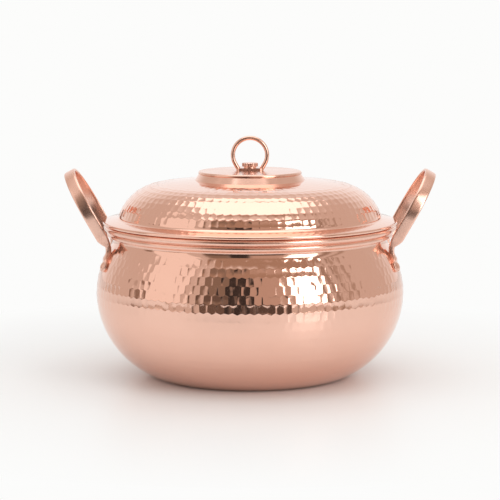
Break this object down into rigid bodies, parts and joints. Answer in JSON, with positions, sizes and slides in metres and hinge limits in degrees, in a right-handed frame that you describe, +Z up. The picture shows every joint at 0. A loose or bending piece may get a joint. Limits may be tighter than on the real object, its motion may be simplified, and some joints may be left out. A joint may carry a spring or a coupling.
{
  "type": "lidded cooking pot",
  "caption": "Round-bellied hammered copper pot with a moulded rim, two riveted strap handles and a domed lift-off lid with a ring pull.",
  "frame": {"origin": "centre of the flat base, on the surface that the pot stands on", "axes": "+Z up along the pot's axis, +X through the right handle"},
  "size_m": [0.313, 0.26, 0.2033],
  "materials": {
    "hammered_copper": "polished hammered copper",
    "polished_copper": "polished copper",
    "tin_lining": "wiped tin, satin",
    "steel_wire": "drawn steel wire",
    "brass_fittings": "turned brass"
  },
  "bodies": {
    "pot": {"pot_body": "hammered_copper", "pot_lining": "tin_lining", "pot_rim_wire": "steel_wire", "right_handle": "polished_copper", "left_handle": "polished_copper", "right_handle_rivets": "polished_copper", "left_handle_rivets": "polished_copper", "right_rivet_burrs": "tin_lining", "left_rivet_burrs": "tin_lining"},
    "lid": {"lid_shell": "hammered_copper", "lid_lining": "tin_lining", "lid_collar": "tin_lining", "lid_boss": "polished_copper", "ring_pull": "polished_copper", "pull_nut": "polished_copper", "pull_stud": "brass_fittings", "pull_washer": "brass_fittings", "pull_locknut": "brass_fittings"}
  },
  "joints": [
    {"name": "lid_lift", "type": "slide", "parent": "pot", "child": "lid", "axis": [0, 0, 1], "range_m": [0, 0.1]}
  ]
}
